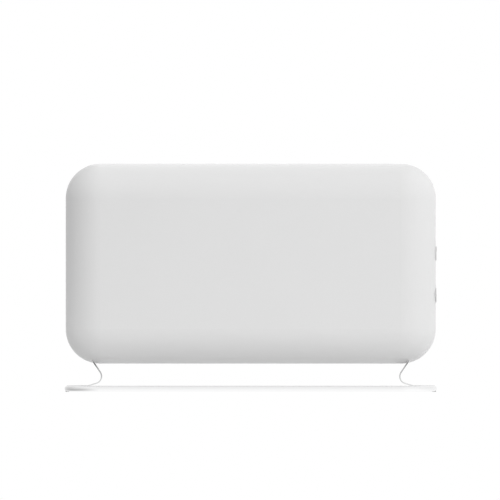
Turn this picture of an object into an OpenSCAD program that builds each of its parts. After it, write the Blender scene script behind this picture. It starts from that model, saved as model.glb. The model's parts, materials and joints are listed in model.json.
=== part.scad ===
// Free-standing convector heater: a pill-shaped moulded housing on a polished stand.
// Origin at floor level under the middle of the body, +Z up, front towards -Y, controls on +X.

/* [Body] */
// Overall width of the body
body_w = 600; // [560:1:680]
// Overall height of the body
body_h = 324; // [310:1:400]
// Overall depth of the body, which is also the diameter of its round edge
body_d = 112; // [108:1:124]
// Height of the body's underside above the floor
ground_gap = 45.6; // [40:0.2:60]
// Wall thickness of the moulded housing
wall = 2.5; // [2:0.1:3]
// Height of the tongue that locates the rear shell on the front shell
tongue_h = 3; // [2:0.5:5]
// Thickness of the tongue
tongue_t = 1.4; // [1:0.1:2]
// Gap between mouldings that fit into each other
fit_gap = 0.3; // [0.2:0.05:0.5]
// Width of the parting groove round the seam of the housing
parting_w = 0.5; // [0.3:0.1:0.8]
// Depth of that groove
parting_depth = 0.6; // [0.3:0.1:1]

/* [Grilles] */
// Length of the warm air outlet
outlet_l = 440; // [360:1:440]
// Length of the cool air intake
intake_l = 400; // [320:1:440]
// Width of each grille across its slats
grille_w = 46; // [38:1:50]
// Angle from vertical at which each grille faces rearwards
grille_tilt = 35; // [34:0.5:38]
// Corner radius of each grille
grille_corner_r = 10; // [5:0.5:14]
// Width of the solid rim round each grille
grille_rim = 3.5; // [2.5:0.5:5]
// Width of the flange behind each grille's rim
grille_flange = 2.5; // [1.5:0.5:4]
// Thickness of that flange
flange_t = 1.2; // [1:0.1:1.6]
// Number of slats in each grille
slat_count = 6; // [4:1:8]
// Thickness of each slat
slat_t = 1.5; // [1:0.1:2]
// Depth of each slat
slat_depth = 8; // [5:0.5:9]
// Angle of the slats from vertical
slat_lean = 22; // [10:1:30]
// Distance between the grille's cross ribs
rib_pitch = 44; // [30:1:60]
// Thickness of each cross rib
rib_t = 2; // [1.4:0.1:3]
// Depth by which the cross ribs lie below the slats
rib_recess = 1; // [0.5:0.1:2]

/* [Controls] */
// Height of the middle of the controls above the body's underside
control_h = 144.8; // [140:0.2:160]
// Distance between the two knobs
knob_pitch = 67.8; // [60:0.2:76]
// Diameter of each knob
knob_d = 23.2; // [20:0.2:26]
// How far each knob stands past the end of the body
knob_proud = 1.3; // [0.8:0.1:3]
// Depth of the pocket that each knob turns in
pocket_depth = 6.5; // [5:0.1:8]
// Gap between a knob and its pocket
knob_gap = 0.5; // [0.4:0.05:0.8]
// Height of the pointer above the knob's rim
pointer_h = 0.4; // [0.2:0.1:0.8]
// Width of the pointer
pointer_w = 2.4; // [1.6:0.1:3]
// Depth of the dish in the knob's face
dish_depth = 0.9; // [0.4:0.1:1.5]
// Width of the control panel's border round each knob
panel_border = 8.4; // [6:0.2:10]
// Diameter of the two control shafts
shaft_d = 6; // [5:0.1:6.4]
// Radial clearance of the control shafts in their bearings
shaft_play = 0.05; // [0.02:0.01:0.1]
// Wall thickness of the knob pockets
cup_t = 1.5; // [1.2:0.1:2]

/* [Stand] */
// Distance from the end of the body to the place where a leg leaves it
leg_inset = 46; // [43:0.5:50]
// Thickness of the leg strip
leg_t = 2.2; // [1.8:0.1:2.6]
// Width of the leg strip from front to rear
leg_w = 40; // [30:1:44]
// Lean of the upper leg from vertical
leg_lean = 34; // [30:0.5:38]
// Radius of the leg's main bend
leg_bend_r = 12; // [9:0.5:14]
// Slope of the lower leg from horizontal
leg_slope = 17; // [12:0.5:20]
// Radius of the leg's small bends
small_bend_r = 7; // [5:0.5:9]
// Distance from the leg at the underside to its innermost point
leg_reach = 12.1; // [11:0.1:15]
// Height of the leg's upright tab inside the body
tab_h = 30; // [26:1:36]
// How far the base ring reaches past each end of the body
ring_over = 1.85; // [0:0.05:20]
// Overall depth of the base ring
ring_depth = 200; // [170:1:240]
// Diameter of the base ring's bar
ring_d = 9; // [8:0.1:10]
// Corner radius of the base ring, to the middle of its bar
ring_corner_r = 50; // [35:1:60]
// Depth of the flat on the ring where the leg is welded on
weld_flat = 1.1; // [0.5:0.1:1.2]
// Thickness of the foot pads under the ring
pad_t = 0.5; // [0.4:0.1:1.5]
// Length of each foot pad
pad_l = 24; // [15:1:30]
// Width of each foot pad
pad_w = 6; // [5:0.5:8.5]

/* [Chassis] */
// Sheet thickness of the side plates, shields and brackets
sheet_t = 1; // [0.8:0.1:1.2]
// Thickness of the bottom rail
rail_t = 1.5; // [1.2:0.1:2]
// Width of the bottom rail
rail_w = 36; // [30:1:38]
// Height of the bottom rail above the body's underside
rail_h = 17; // [16:0.5:20]
// Distance from the end of the body to the side plates
plate_in = 75; // [74:0.5:76]
// Gap between the chassis and the housing wall
chassis_gap = 7.5; // [6:0.5:9]
// Gap between the shields and the edge of the side plates
shield_gap = 2; // [1.5:0.5:4]
// Width of the flanges on the side plates
plate_flange = 20; // [18:0.5:21]
// Inner radius of every sheet bend
sheet_bend_r = 1; // [0.8:0.1:1.5]

/* [Heating element] */
// Height of the element's axis above the bottom rail
element_h = 42; // [38:0.5:46]
// Diameter of the heating rod
rod_d = 8.5; // [7:0.1:9]
// Diameter of the element's core
core_d = 15; // [13:0.5:17]
// Overall diameter of the longest fins
fin_span = 68; // [56:1:70]
// Gap between the ends of the finned extrusion and the side plates
element_gap = 20; // [16:1:40]
// Number of fins round the core
fin_count = 12; // [8:2:16]
// Thickness of a fin at its root
fin_root_t = 1.6; // [1.2:0.1:2]
// Thickness of a fin at its tip
fin_tip_t = 0.9; // [0.7:0.1:1.2]
// Distance between the cuts across the fins
cut_pitch = 20; // [16:1:30]
// Width of each cut
cut_w = 3; // [2:0.5:5]
// Depth of each cut from the fin tips
cut_depth = 13; // [8:0.5:15]

/* [Fasteners] */
// Diameter of the housing screws
case_screw_d = 3.8; // [3:0.1:4.2]
// Diameter of the chassis screws
chassis_screw_d = 2.9; // [2.5:0.1:3.2]
// Diameter of the leg screws
leg_screw_d = 4; // [3.5:0.1:4.4]
// Clearance round a screw in its hole
screw_play = 0.05; // [0.03:0.01:0.1]

/* [Cord inlet] */
// Diameter of the hole that the supply cord passes through
cord_hole_d = 7.5; // [6:0.1:8]
// Outer diameter of the gland's barrel
gland_d = 11; // [10:0.1:12]
// Diameter of the gland's collar
collar_d = 15; // [14:0.1:16]
// Thickness of the gland's collar
collar_t = 2; // [1.5:0.1:3]
// Height of the gland above the body's underside
gland_h = 66.4; // [62:0.2:72]

/* [Tilt switch] */
// Outer width of the tilt switch from front to rear
tilt_w = 32; // [28:1:36]
// Outer height of the tilt switch
tilt_h = 34; // [32:1:36]
// Depth of the tilt switch
tilt_depth = 16; // [14:0.5:18]
// Wall thickness of the tilt switch
tilt_wall = 1.5; // [1.2:0.1:2]
// Diameter of the pendulum's pivot post
pivot_d = 3; // [2.5:0.1:4]
// Diameter of the pendulum's weight
bob_d = 13; // [10:0.5:14]
// Distance from the pivot to the middle of the weight
bob_drop = 13; // [11:0.5:13.5]
// Thickness of the weight
bob_t = 8; // [5:0.5:9]

/* [Hidden] */
$fa = 3;
$fs = 0.4;

// Node names

// Colours
white_c = [0.93, 0.93, 0.92];
knob_c = [0.78, 0.78, 0.78];
chrome_c = [0.8, 0.81, 0.83];
zinc_c = [0.66, 0.68, 0.7];
alu_c = [0.82, 0.83, 0.84];
ceramic_c = [0.9, 0.88, 0.82];
dark_c = [0.16, 0.16, 0.17];
pad_c = [0.55, 0.55, 0.55];

// Axes of the body's round edge
edge_r = body_d / 2;
inner_r = edge_r - wall;
axis_w = body_w - body_d;
axis_h = body_h - body_d;
mid_z = ground_gap + body_h / 2;
low_axis_z = mid_z - axis_h / 2;
high_axis_z = mid_z + axis_h / 2;
plate_x = body_w / 2 - plate_in;
reach = 2 * body_d;
skin = 0.2;
root = 0.5;
hole_play = 0.2;
over = 1;
punch = 6;
bend_lap = 0.05;
hair = 0.005;
ball_turn = 180 + atan(4 / 3);

// Base ring and legs
ring_r = ring_d / 2;
ring_z = pad_t + ring_r;
ring_x = body_w / 2 + ring_over - ring_r;
ring_y = ring_depth / 2 - ring_r;
flat_z = ring_z + ring_r - weld_flat;
foot_z = flat_z + leg_t / 2;
leg_exit_x = body_w / 2 - leg_inset;
leg_exit_z = ground_gap + edge_r - sqrt(edge_r * edge_r - pow(leg_exit_x - axis_w / 2, 2));
bend_x = leg_exit_x - leg_reach + leg_bend_r;
bend_top_z = leg_exit_z - (leg_exit_x - bend_x + leg_bend_r * cos(leg_lean)) / tan(leg_lean);
bend_z = bend_top_z - leg_bend_r * sin(leg_lean);
slope_x = bend_x - leg_bend_r * sin(leg_slope);
slope_z = bend_z - leg_bend_r * cos(leg_slope);
knee_x = slope_x + (slope_z - foot_z) / tan(leg_slope);
bend_setback = leg_bend_r * tan((90 - leg_slope + leg_lean) / 2);
heel = [slope_x - bend_setback * cos(leg_slope), slope_z + bend_setback * sin(leg_slope)];
rail_z = ground_gap + rail_h;
rail_top = rail_z + rail_t;
tab_drop = 3;
tab_z = rail_z - tab_drop;
tab_x = leg_exit_x + (tab_z - leg_exit_z) * tan(leg_lean);
tab_top = tab_z + tab_h;
slot_gap = 0.3;
leg_overhang = 1;
pad_rise = 1;
rail_slot_pitch = 40;
rail_slot_l = 26;
rail_slot_w = 9;
rail_slot_r = 4.4;
rail_slots = floor((plate_x - rail_slot_l) / rail_slot_pitch);
rail_end_x = tab_x - leg_t / 2 - rail_t / 2;

// Leg screws
leg_screw_y = leg_w / 4;
leg_screw_drop = 12;
leg_screw_z = tab_top - leg_screw_drop;
leg_head_d = 2 * leg_screw_d;
leg_head_share = 0.6;
leg_head_h = leg_head_share * leg_screw_d;
leg_nut_d = 2 * leg_screw_d;
leg_nut_share = 0.8;
leg_nut_h = leg_nut_share * leg_screw_d;
leg_screw_tail = 1.5;
cross_w = 0.8;
cross_l = 1.2;

// Side plates
sheet_r = sheet_bend_r + sheet_t / 2;
frame_r = inner_r - chassis_gap;
web_r = frame_r - sheet_t / 2 - sheet_r;
flange_y = -(frame_r - sheet_t / 2);
flange_share = 0.72;
plate_flange_h = axis_h * flange_share;
plate_foot_z = rail_top + sheet_t / 2;
plate_inset = 2;
plate_lap = 3;
plate_foot_w = rail_w - 2 * plate_inset;
plate_foot_l = plate_flange - plate_inset;
plate_face_x = plate_x + sheet_t / 2;
rail_screw_edge = 6;
rail_screw_x = plate_x + plate_foot_l - rail_screw_edge;
rail_screw_y = plate_foot_w / 2 - rail_screw_edge;
chassis_screw_edge = 7;
chassis_screw_in = 12;
chassis_screw_end = plate_flange_h / 2 - chassis_screw_in;
chassis_screw_x = plate_x + plate_flange - chassis_screw_edge;
chassis_screw_z = [mid_z - chassis_screw_end, mid_z + chassis_screw_end];
boss_wall = 2.5;
chassis_boss_r = chassis_screw_d / 2 + boss_wall;
small_head_r = chassis_screw_d;
small_head_h = 1.8;
chassis_screw_l = 6.5;
rail_screw_l = 7;
bracket_screw_l = 6;

// Housing screws
post_out = 27;
post_in = 10.4;
post_wall = 2.6;
post_x = plate_x + post_out;
post_z = [low_axis_z + post_in, high_axis_z - post_in];
post_r = case_screw_d / 2 + post_wall;
well_floor = 3;
case_head_r = case_screw_d + skin;
case_head_h = 2.6;
head_gap = 0.7;
well_wall = 1.8;
well_bore_r = case_head_r + head_gap;
well_r = well_bore_r + well_wall;
case_screw_l = 17;

// Shields
shield_r = web_r - shield_gap - sheet_t / 2;
shield_l = 2 * (plate_x - sheet_t / 2 - fit_gap);
shield_lip = 4;
shield_tab_w = 10;
shield_tab_out = 2.5;
shield_tab_l = sheet_t + fit_gap + shield_tab_out;
front_low_angle = 45;
front_high_angle = 80;
rear_angle = 20;
shield_tab_z = [mid_z - axis_h / 3, mid_z + axis_h / 3];

// Heating element
element_z = rail_top + element_h;
rod_play = 0.05;
element_l = 2 * (plate_x - element_gap);
rod_out = 10;
rod_l = 2 * (plate_x + rod_out);
bush_wall = 4;
bush_r = rod_d / 2 + bush_wall;
bush_rim = 3;
bush_flange_r = bush_r + bush_rim;
bush_flange_t = 3;
bush_l = 8;
pin_d = 3.4;
pin_l = 9;
fin_step = 7;

// Controls
control_z = ground_gap + control_h;
selector_z = control_z + knob_pitch / 2;
thermostat_z = control_z - knob_pitch / 2;
knob_r = knob_d / 2;
knob_face_x = body_w / 2 + knob_proud;
pocket_r = knob_r + knob_gap;
pocket_x = body_w / 2 - pocket_depth;
cup_r = pocket_r + cup_t;
cup_x = pocket_x - cup_t;
panel_r = knob_r + panel_border;
shaft_r = shaft_d / 2;
bore_r = shaft_r + shaft_play;
knob_back_gap = 0.6;
knob_back_x = pocket_x + knob_back_gap;
knob_wall = 2.6;
shaft_end_x = knob_face_x - dish_depth - knob_wall;
hub_wall = 2.2;
hub_r = shaft_r + hub_wall;
bracket_gap = 6;
bracket_x = cup_x - bracket_gap;
bracket_face = bracket_x - sheet_t;
bracket_w = 44;
bracket_end = 28;
bracket_h = knob_pitch + 2 * bracket_end;
bracket_foot = 13;
selector_r = 15;
selector_l = 21;
thermostat_size = [30, 33];
thermostat_corner_r = 3;
thermostat_l = 18;
bearing_l = 9;
boss_y = 12;
panel_boss_r = 3.6;
panel_screw_d = chassis_screw_d;
panel_screw_l = 7.5;
control_screw_l = 7;
nose_r = 4.5;
nose_l = 3;
tab_y = 5;
contact_l = 8;
contact_w = 5;
contact_t = 0.8;
rim_w = 1.8;
rim_round = 1;
shaft_flat = 1.2;
pointer_in = 4.7;
pointer_gap = 0.6;
pointer_out = knob_r - rim_w - pointer_gap;
control_hole_y = 10.5;
bracket_screw_z = (bracket_h + bracket_foot + sheet_t) / 2;
shaft_in = 0.5;
flat_lap = 0.5;

// Thermal cut-out
cutout_r = 8;
cutout_h = 7;
cutout_hole_y = 12;
cutout_window_r = 6;
cutout_flange_t = 1;
cutout_ear = 8;
cutout_ear_r = 3.9;
tail_l = 2;

// Tilt switch
tilt_gap = 4;
pivot_up = 8;
tilt_corner_r = 3;
tilt_z = control_z + bracket_h / 2 + bracket_foot + tilt_h / 2 + tilt_gap;
pivot_z = tilt_z + pivot_up;
pivot_r = pivot_d / 2;
pivot_play = 0.08;
bob_gap = 0.6;
bob_x = plate_face_x + tilt_wall + bob_gap;
arm_w = 5;
arm_t = 3;
pivot_wall = 2;
pivot_hub_r = pivot_r + pivot_wall;
peg_r = 1.8;
peg_l = 2.5;
peg_y = 8;

// Terminal block and leads
block_size = [16, 28, 16];
block_x = plate_face_x;
block_y = 6;
block_drop = 18;
block_z = low_axis_z - block_drop;
lead_d = 3;
lead_bend_r = 5;
lead_in_y = 6;
lead_in_x = 4;
lead_y = block_y + block_size[1] - lead_in_y;
lead_x = block_x + block_size[0] - lead_in_x;
neutral_y = 26;
neutral_up = 10.5;
neutral_z = rail_top + neutral_up;
neutral_hole_r = 2.5;
clamp_r = 3;
clamp_depth = 5;
clamp_count = 3;
groove_w = 1.6;
groove_depth = 6;
link_out = 21;
feed_out = 15.5;
drop_out = 5;
drop_up = 14;
link_x = plate_face_x + link_out;
feed_x = plate_face_x + feed_out;
drop_y = -(bracket_w / 2 + drop_out);
drop_z = control_z - bracket_h / 2 + drop_up;

// Cord gland, on the rear right edge of the body at 45 degrees
gland_angle = 45;
gland_z = ground_gap + gland_h;
gland_boss_up = 0.8;
gland_boss_in = 3;
gland_boss_rim = 1;
gland_seat_r = edge_r + gland_boss_up;
gland_barrel_l = 14;
gland_boss_r = collar_d / 2 + gland_boss_rim;

// Turns a section drawn in Y and Z into a bar along X
module along_x(l) translate([-l / 2, 0, 0]) rotate([90, 0, 90]) linear_extrude(l) children();

// A round bar from a point, along X, Y or Z
module rod_x(r, l) rotate([0, 90, 0]) cylinder(r = r, h = l);
module rod_y(r, l) rotate([-90, 0, 0]) cylinder(r = r, h = l);

// Repeats children, mirrored, on the left side of the body
module both_sides() {
    children();
    mirror([1, 0, 0]) children();
}

// Section of a sheet or strip, with edges rounded by r: 0 leaves them square
module strip_section(t, w, r) {
    square([t, w - 2 * r], center = true);
    if (r > 0) for (s = [-1, 1]) translate([0, s * (w / 2 - r)]) circle(r);
}

// Sheet or strip of thickness t and width w that follows corner points, with a bend at each inner one
function unit(v) = v / norm(v);
function bend_angle(p, i) = acos(unit(p[i] - p[i - 1]) * unit(p[i + 1] - p[i]));
function setback(p, r, i) = i == 0 || i == len(p) - 1 ? 0 : r[i] * tan(bend_angle(p, i) / 2);

module bent_sheet(p, r, t, w, edge = 0) {
    last = len(p) - 1;
    for (i = [0:last - 1]) {
        dir = unit(p[i + 1] - p[i]);
        from = p[i] + dir * setback(p, r, i);
        l = norm(p[i + 1] - p[i]) - setback(p, r, i) - setback(p, r, i + 1);
        translate(from) rotate(atan2(dir[1], dir[0])) rotate([90, 0, 90]) linear_extrude(l)
            strip_section(t, w, edge);
    }
    // A bend reaches a little into both neighbours and is a hair smaller, so that they join cleanly
    for (i = [1:last - 1]) {
        dir = unit(p[i] - p[i - 1]);
        turn = sign(cross(dir, p[i + 1] - p[i]));
        lap = bend_lap / r[i] * 180 / PI;
        angle = bend_angle(p, i) + 2 * lap;
        hub = p[i] - dir * setback(p, r, i) + turn * r[i] * [-dir[1], dir[0]];
        first = atan2(-turn * dir[0], turn * dir[1]) - turn * lap;
        translate(hub) rotate(turn > 0 ? first : first - angle) rotate_extrude(angle = angle)
            translate([r[i], 0]) strip_section(t - 2 * hair, w - 2 * hair, max(edge - hair, 0));
    }
}

// Puts a bent sheet drawn in X and Y on edge: across Y, or across X
module sheet_across_y() rotate([90, 0, 0]) children();
module sheet_across_x() rotate([90, 0, 90]) children();

// Turns children to corner i of the edge axis, clockwise from the top right as seen from the front
module at_corner(i) {
    signs = [[1, 1], [1, -1], [-1, -1], [-1, 1]];
    translate([signs[i][0] * axis_w / 2, 0, mid_z + signs[i][1] * axis_h / 2])
        rotate([-90, 0, 0]) rotate(90 * (i - 1)) children();
}

// Sweeps a section round the body's edge: section x is the distance out from the edge axis, y is depth
module edge_runs() for (i = [0:3]) at_corner(i)
    rotate([90, 0, 0]) linear_extrude(i % 2 == 0 ? axis_w : axis_h) children();

module edge_sweep() {
    edge_runs() children();
    for (i = [0:3]) at_corner(i) rotate_extrude(angle = 90) children();
}

// Quarter of the housing's wall section: side -1 is the front half, 1 the rear half
module wall_section(side) intersection() {
    difference() {
        circle(edge_r);
        circle(inner_r);
    }
    translate([0, side < 0 ? -edge_r : 0]) square(edge_r);
}

// Ball whose poles lie outside the corner that is cut from it
module corner_ball(r) rotate([90, 0, ball_turn]) sphere(r);

module half_shell(side) {
    edge_runs() wall_section(side);
    for (i = [0:3]) at_corner(i) intersection() {
        difference() {
            corner_ball(edge_r);
            corner_ball(inner_r);
        }
        translate([0, 0, side < 0 ? -edge_r : 0]) cube(edge_r);
    }
    translate([-axis_w / 2, side < 0 ? -edge_r : inner_r, low_axis_z]) cube([axis_w, wall, axis_h]);
}

// Tongue inside the seam, on the front shell
module tongue() edge_sweep() {
    translate([inner_r - fit_gap - tongue_t, -tongue_h]) square([tongue_t, 2 * tongue_h]);
    translate([inner_r - fit_gap - tongue_t, -tongue_h]) square([tongue_t + fit_gap + skin, tongue_h]);
}

// Fine groove that shows where the two halves of the housing meet
module parting_groove() edge_sweep()
    translate([edge_r - parting_depth, -parting_w]) square([parting_depth + over, parting_w + over]);

// Outline of the control panel in Y and Z, grown by a gap
module panel_outline(gap) {
    for (z = [selector_z, thermostat_z]) translate([0, z]) circle(panel_r + gap);
    translate([-panel_r - gap, thermostat_z]) square([2 * (panel_r + gap), knob_pitch]);
}

// Slots where the legs pass through the underside
module leg_slots() both_sides()
    translate([leg_exit_x, 0, leg_exit_z]) rotate([0, leg_lean, 0])
        cube([leg_t + 2 * slot_gap, leg_w + 2 * slot_gap, body_d / 2], center = true);

// Rounded outline of a grille, as a prism that faces up and rearwards from the top edge axis
module grille_prism(l, grow) {
    r = grille_corner_r + grow;
    w = grille_w + 2 * grow;
    rotate([-grille_tilt, 0, 0]) linear_extrude(reach) {
        for (x = [-1, 1], y = [-1, 1])
            translate([x * (l / 2 + grow - r), y * (w / 2 - r)]) circle(r);
        square([l + 2 * grow, w - 2 * r], center = true);
        square([l + 2 * grow - 2 * r, w], center = true);
    }
}

// Puts a grille drawn for the top edge axis at the outlet or, mirrored, at the intake
module at_outlet() translate([0, 0, high_axis_z]) children();
module at_intake() translate([0, 0, low_axis_z]) mirror([0, 0, 1]) children();

// Louvred grille that follows the round edge, drawn about the edge axis
module grille_ring(l, outer) along_x(l) difference() {
    circle(outer);
    circle(inner_r - fit_gap - flange_t);
}

module grille_frame(l) difference() {
    union() {
        intersection() {
            grille_ring(l, edge_r);
            grille_prism(l, -fit_gap);
        }
        intersection() {
            grille_ring(l + 2 * grille_flange, inner_r - fit_gap);
            grille_prism(l, grille_flange);
        }
    }
    grille_prism(l, -fit_gap - grille_rim);
}

module grille_slats(l) {
    half_angle = asin((grille_w / 2 - fit_gap - grille_rim) / edge_r);
    along_x(l) intersection() {
        circle(edge_r);
        for (i = [1:slat_count]) {
            a = grille_tilt - half_angle + 2 * half_angle * i / (slat_count + 1);
            translate(edge_r * [sin(a), cos(a)]) rotate(-slat_lean)
                translate([-slat_t / 2, -slat_depth]) square([slat_t, 2 * slat_depth]);
        }
    }
}

module grille_ribs(l) {
    ribs = floor((l / 2 - grille_rim - fit_gap - rib_t) / rib_pitch);
    for (i = [-ribs:ribs]) translate([i * rib_pitch, 0, 0]) along_x(rib_t) difference() {
        circle(edge_r - rib_recess);
        circle(edge_r - slat_depth);
    }
}

module grille(l) {
    grille_frame(l);
    intersection() {
        union() {
            grille_slats(l);
            grille_ribs(l);
        }
        grille_prism(l, -fit_gap - grille_rim / 2);
    }
}

module outlet_grille() color(white_c) at_outlet() grille(outlet_l);
module intake_grille() color(white_c) at_intake() grille(intake_l);

// Housing
module panel_opening(gap) translate([axis_w / 2 + inner_r / 2, 0, 0])
    rotate([90, 0, 90]) linear_extrude(edge_r) panel_outline(gap);

module at_posts() both_sides() for (z = post_z) translate([post_x, 0, z]) children();
module at_chassis_screws() both_sides()
    for (z = chassis_screw_z) translate([chassis_screw_x, -frame_r, z]) children();
module at_gland() translate([axis_w / 2, 0, gland_z]) rotate(gland_angle) children();

module front_shell() color(white_c) difference() {
    union() {
        half_shell(-1);
        difference() {
            tongue();
            panel_opening(grille_flange + 2 * fit_gap);
        }
        at_posts() translate([0, -inner_r - root, 0]) rod_y(post_r, inner_r + root);
        at_chassis_screws() translate([0, frame_r - inner_r - root, 0])
            rod_y(chassis_boss_r, inner_r + root - frame_r);
    }
    parting_groove();
    leg_slots();
    panel_opening(0);
    at_posts() translate([0, well_floor - case_screw_l - over, 0])
        rod_y(case_screw_d / 2 + screw_play, case_screw_l);
    at_chassis_screws() translate([0, frame_r - inner_r, 0])
        rod_y(chassis_screw_d / 2 + screw_play, inner_r);
}

module rear_shell() color(white_c) difference() {
    union() {
        half_shell(1);
        at_posts() rod_y(well_r, inner_r);
        at_gland() translate([inner_r - gland_boss_in, 0, 0])
            rod_x(gland_boss_r, gland_seat_r - inner_r + gland_boss_in);
    }
    at_outlet() grille_prism(outlet_l, 0);
    at_intake() grille_prism(intake_l, 0);
    leg_slots();
    panel_opening(0);
    at_posts() translate([0, well_floor, 0]) rod_y(well_bore_r, edge_r);
    at_posts() translate([0, -over, 0]) rod_y(case_screw_d / 2 + hole_play, edge_r);
    at_gland() translate([inner_r / 2, 0, 0]) rod_x(gland_d / 2 + screw_play, edge_r);
}

// Control panel with a pocket for each knob
module edge_post(r) translate([axis_w / 2, 0, control_z]) cylinder(r = r, h = reach, center = true);

module panel_skin(gap, outer) difference() {
    intersection() {
        panel_opening(gap);
        edge_post(outer);
    }
    edge_post(inner_r - fit_gap - flange_t);
}

module control_panel() color(white_c) difference() {
    union() {
        panel_skin(-fit_gap, edge_r);
        panel_skin(grille_flange, inner_r - fit_gap);
        intersection() {
            for (z = [selector_z, thermostat_z]) translate([cup_x, 0, z]) rod_x(cup_r, edge_r);
            edge_post(edge_r);
        }
        intersection() {
            for (y = [-boss_y, boss_y])
                translate([bracket_x, y, control_z]) rod_x(panel_boss_r, edge_r);
            edge_post(edge_r - wall / 2);
        }
    }
    for (z = [selector_z, thermostat_z]) {
        translate([pocket_x, 0, z]) rod_x(pocket_r, edge_r);
        translate([cup_x - over, 0, z]) rod_x(shaft_r + knob_gap, edge_r);
    }
    for (y = [-boss_y, boss_y]) translate([bracket_x - over, y, control_z])
        rod_x(panel_screw_d / 2 + screw_play, panel_screw_l + over);
}

// Knob drawn about its axis along X, with its pointer up
module d_bar(r, l) difference() {
    rod_x(r, l);
    translate([-over, -r, -r - shaft_flat]) cube([l + 2 * over, 2 * r, 2 * shaft_flat]);
}

module knob() {
    dish_a = knob_r - rim_w;
    dish_r = (dish_a * dish_a + dish_depth * dish_depth) / (2 * dish_depth);
    difference() {
        translate([knob_back_x, 0, 0]) rotate([0, 90, 0]) rotate_extrude() knob_section();
        translate([knob_face_x - dish_depth + dish_r, 0, 0]) sphere(dish_r);
        translate([knob_back_x - over, 0, 0]) difference() {
            rod_x(knob_r - rim_w, shaft_end_x - knob_back_x + over);
            translate([-over, 0, 0]) rod_x(hub_r, edge_r);
        }
        translate([knob_back_x - over, 0, 0])
            d_bar(shaft_r + screw_play, shaft_end_x - knob_back_x + over + screw_play);
    }
    translate([knob_face_x - dish_depth - over, 0, 0]) rotate([90, 0, 90])
        linear_extrude(dish_depth + over + pointer_h) {
            translate([0, pointer_in]) circle(pointer_w / 2);
            translate([0, pointer_out]) circle(pointer_w / 2);
            translate([-pointer_w / 2, pointer_in]) square([pointer_w, pointer_out - pointer_in]);
        }
}

module knob_section() {
    l = knob_face_x - knob_back_x;
    square([knob_r - rim_round, l]);
    square([knob_r, l - rim_round]);
    intersection() {
        translate([knob_r - rim_round, l - rim_round]) circle(rim_round);
        translate([knob_r - rim_round, l - rim_round]) square(rim_round);
    }
}

module at_selector() translate([0, 0, selector_z]) children();
module at_thermostat() translate([0, 0, thermostat_z]) rotate([90, 0, 0]) children();

module control_shaft() {
    back_x = bracket_face - bearing_l + shaft_in;
    flat_x = knob_back_x - over;
    translate([back_x, 0, 0]) rod_x(shaft_r, flat_x - back_x);
    translate([flat_x - flat_lap, 0, 0]) d_bar(shaft_r, shaft_end_x - flat_x + flat_lap);
}

module selector_knob() color(knob_c) at_selector() knob();
module thermostat_knob() color(knob_c) at_thermostat() knob();
module selector_shaft() color(zinc_c) at_selector() control_shaft();
module thermostat_shaft() color(zinc_c) at_thermostat() control_shaft();

// Switch and thermostat behind the bracket
module bearing_nose() translate([bracket_face - over, 0, 0]) rod_x(nose_r, over + sheet_t + nose_l);
module control_holes(l) {
    translate([bracket_face - bearing_l, 0, 0]) rod_x(bore_r, edge_r);
    for (y = [-control_hole_y, control_hole_y]) translate([bracket_face - l, y, 0])
        rod_x(chassis_screw_d / 2 + screw_play, edge_r);
}
module contact_tabs(x) for (y = [-tab_y, tab_y])
    translate([x - contact_l, y - contact_w / 2, -contact_t / 2])
        cube([contact_l + over, contact_w, contact_t]);

module selector_switch() color(dark_c) translate([0, 0, selector_z]) difference() {
    union() {
        translate([bracket_face - selector_l, 0, 0]) rod_x(selector_r, selector_l);
        bearing_nose();
        contact_tabs(bracket_face - selector_l);
    }
    control_holes(control_screw_l);
}

module rounded_square(size, r) {
    for (x = [-1, 1], y = [-1, 1])
        translate([x * (size[0] / 2 - r), y * (size[1] / 2 - r)]) circle(r);
    square([size[0], size[1] - 2 * r], center = true);
    square([size[0] - 2 * r, size[1]], center = true);
}

module thermostat_body() color(ceramic_c) translate([0, 0, thermostat_z]) difference() {
    union() {
        translate([bracket_face - thermostat_l, 0, 0]) rotate([90, 0, 90])
            linear_extrude(thermostat_l) rounded_square(thermostat_size, thermostat_corner_r);
        bearing_nose();
        contact_tabs(bracket_face - thermostat_l);
    }
    control_holes(control_screw_l);
}

module control_bracket() color(zinc_c) difference() {
    xf = plate_face_x + sheet_t / 2;
    xb = bracket_x - sheet_t / 2;
    z0 = control_z - bracket_h / 2;
    z1 = control_z + bracket_h / 2;
    sheet_across_y() bent_sheet(
        [[xf, z0 - bracket_foot], [xf, z0], [xb, z0], [xb, z1], [xf, z1], [xf, z1 + bracket_foot]],
        [0, sheet_r, sheet_r, sheet_r, sheet_r, 0], sheet_t, bracket_w);
    for (z = [selector_z, thermostat_z]) translate([bracket_face - over, 0, z]) {
        rod_x(nose_r + hole_play, edge_r);
        for (y = [-control_hole_y, control_hole_y]) translate([0, y, 0])
            rod_x(chassis_screw_d / 2 + hole_play, edge_r);
    }
    for (y = [-boss_y, boss_y]) translate([bracket_face - over, y, control_z])
        rod_x(panel_screw_d / 2 + hole_play, edge_r);
    for (s = [-1, 1]) translate([plate_face_x - over, 0, control_z + s * bracket_screw_z])
        rod_x(chassis_screw_d / 2 + hole_play, punch);
}

// Side plates of the chassis
module web_outline() difference() {
    union() {
        for (z = [low_axis_z, high_axis_z]) translate([0, z]) circle(web_r);
        translate([-web_r, low_axis_z]) square([2 * web_r, axis_h]);
    }
    translate([-edge_r, 0]) square([body_d, plate_foot_z + sheet_r]);
    translate([0, element_z]) circle(bush_r + hole_play);
}

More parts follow.
